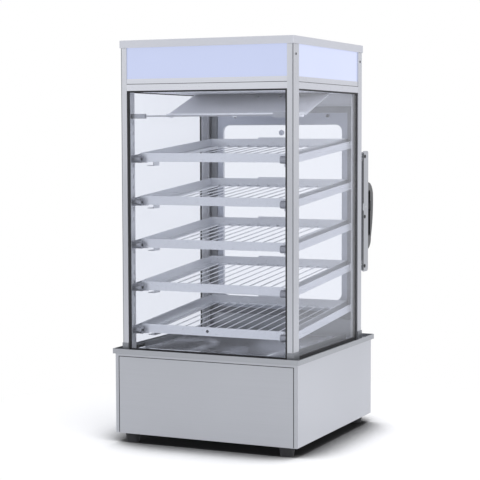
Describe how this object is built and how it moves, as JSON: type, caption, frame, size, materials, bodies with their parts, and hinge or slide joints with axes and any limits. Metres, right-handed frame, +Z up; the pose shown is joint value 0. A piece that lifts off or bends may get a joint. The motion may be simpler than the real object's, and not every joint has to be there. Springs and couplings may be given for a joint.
{
  "type": "electric dumpling display steamer",
  "caption": "Electric glass display steamer for dumplings with sloped wire shelves over a water tank, a lit header and a rear door with a lever latch",
  "frame": {"origin": "middle of the footprint on the ground, under the feet", "axes": "+Z up, -Y towards the front glass, +X to the right as seen from the front"},
  "size_m": [0.43, 0.4899, 0.85],
  "materials": {
    "casing_steel": "satin brushed",
    "post_steel": "satin brushed",
    "shoe_steel": "dull satin",
    "shelf_steel": "satin",
    "tank_steel": "satin",
    "bright_steel": "polished",
    "clear_glass": "clear",
    "light_front": "translucent, lit from inside",
    "light_side": "translucent, lit from inside",
    "lamp_tube": "opal",
    "black_rubber": "matte",
    "black_plastic": "matte moulded",
    "drip_grey": "matte",
    "peg_dark": "matte",
    "switch_red": "gloss",
    "switch_green": "gloss",
    "lamp_lens": "translucent gloss",
    "brass": "satin"
  },
  "bodies": {
    "cabinet": {"base_casing": "casing_steel", "base_front_panel": "casing_steel", "base_bottom": "casing_steel", "feet": "black_rubber", "deck_tray": "casing_steel", "water_tank": "tank_steel", "heating_element": "tank_steel", "post_front_left": "post_steel", "post_front_right": "post_steel", "post_rear_left": "post_steel", "post_rear_right": "post_steel", "post_shoes": "shoe_steel", "front_glass": "clear_glass", "left_glass": "clear_glass", "right_glass": "clear_glass", "glass_gaskets": "black_rubber", "header_frame": "post_steel", "light_panel_front": "light_front", "light_panel_left": "light_side", "light_panel_right": "light_side", "header_back_panel": "casing_steel", "light_batten": "light_side", "lamp_tubes": "lamp_tube", "top_cap": "post_steel", "ceiling_panel": "tank_steel", "drip_sheet": "tank_steel", "drip_bar": "drip_grey", "pilasters": "post_steel", "runners_left": "shelf_steel", "runners_right": "shelf_steel", "stop_pegs": "peg_dark", "rear_sill": "casing_steel", "rear_header": "casing_steel", "hinge_brackets": "bright_steel", "keepers": "bright_steel", "control_plate": "shoe_steel", "switch_housings": "black_plastic", "indicator_lamps": "lamp_lens", "thermostat_body": "black_plastic", "power_gland": "black_plastic", "drain_pipe": "brass"},
    "door": {"door_frame": "casing_steel", "door_glass": "clear_glass", "door_seal": "black_rubber", "glass_button": "bright_steel", "hinge_leaves": "bright_steel", "latch_case": "post_steel", "lever_pin": "bright_steel"},
    "latch_bar": {"latch_bar": "shelf_steel"},
    "latch_handle": {"lever_arm": "bright_steel", "lever_grip": "black_plastic"},
    "shelf_1": {"shelf_1": "shelf_steel"},
    "shelf_2": {"shelf_2": "shelf_steel"},
    "shelf_3": {"shelf_3": "shelf_steel"},
    "shelf_4": {"shelf_4": "shelf_steel"},
    "shelf_5": {"shelf_5": "shelf_steel"},
    "thermostat_knob": {"thermostat_knob": "black_plastic"},
    "power_switch": {"power_switch": "switch_red"},
    "lamp_switch": {"lamp_switch": "switch_green"},
    "drain_lever": {"drain_lever": "bright_steel"}
  },
  "joints": [
    {"name": "door_hinge", "type": "hinge", "parent": "cabinet", "child": "door", "pos_m": [-0.1905, 0.168, 0.475], "axis": [0, 0, 1], "range_deg": [0, 110]},
    {"name": "latch_slide", "type": "slide", "parent": "door", "child": "latch_bar", "axis": [0, 0, -1], "range_m": [0, 0.0055]},
    {"name": "latch_lever", "type": "hinge", "parent": "door", "child": "latch_handle", "pos_m": [0.1842, 0.19, 0.49], "axis": [1, 0, 0], "range_deg": [0, 25]},
    {"name": "shelf_1_lift", "type": "slide", "parent": "cabinet", "child": "shelf_1", "axis": [0, 0, 1], "range_m": [0, 0.016]},
    {"name": "shelf_2_lift", "type": "slide", "parent": "cabinet", "child": "shelf_2", "axis": [0, 0, 1], "range_m": [0, 0.016]},
    {"name": "shelf_3_lift", "type": "slide", "parent": "cabinet", "child": "shelf_3", "axis": [0, 0, 1], "range_m": [0, 0.016]},
    {"name": "shelf_4_lift", "type": "slide", "parent": "cabinet", "child": "shelf_4", "axis": [0, 0, 1], "range_m": [0, 0.016]},
    {"name": "shelf_5_lift", "type": "slide", "parent": "cabinet", "child": "shelf_5", "axis": [0, 0, 1], "range_m": [0, 0.016]},
    {"name": "thermostat_turn", "type": "hinge", "parent": "cabinet", "child": "thermostat_knob", "pos_m": [-0.062, 0.192, 0.105], "axis": [0, 1, 0], "range_deg": [0, 290]},
    {"name": "power_rocker", "type": "hinge", "parent": "cabinet", "child": "power_switch", "pos_m": [-0.145, 0.1913, 0.098], "axis": [-1, 0, 0], "range_deg": [0, 16]},
    {"name": "lamp_rocker", "type": "hinge", "parent": "cabinet", "child": "lamp_switch", "pos_m": [-0.112, 0.1913, 0.098], "axis": [-1, 0, 0], "range_deg": [0, 16]},
    {"name": "drain_turn", "type": "hinge", "parent": "cabinet", "child": "drain_lever", "pos_m": [0.15, 0.2103, 0.0842], "axis": [0, 0, -1], "range_deg": [0, 90]}
  ],
  "couplings": [
    {"joint": "latch_slide", "follows": "latch_lever", "m_per_rad": 0.012}
  ]
}
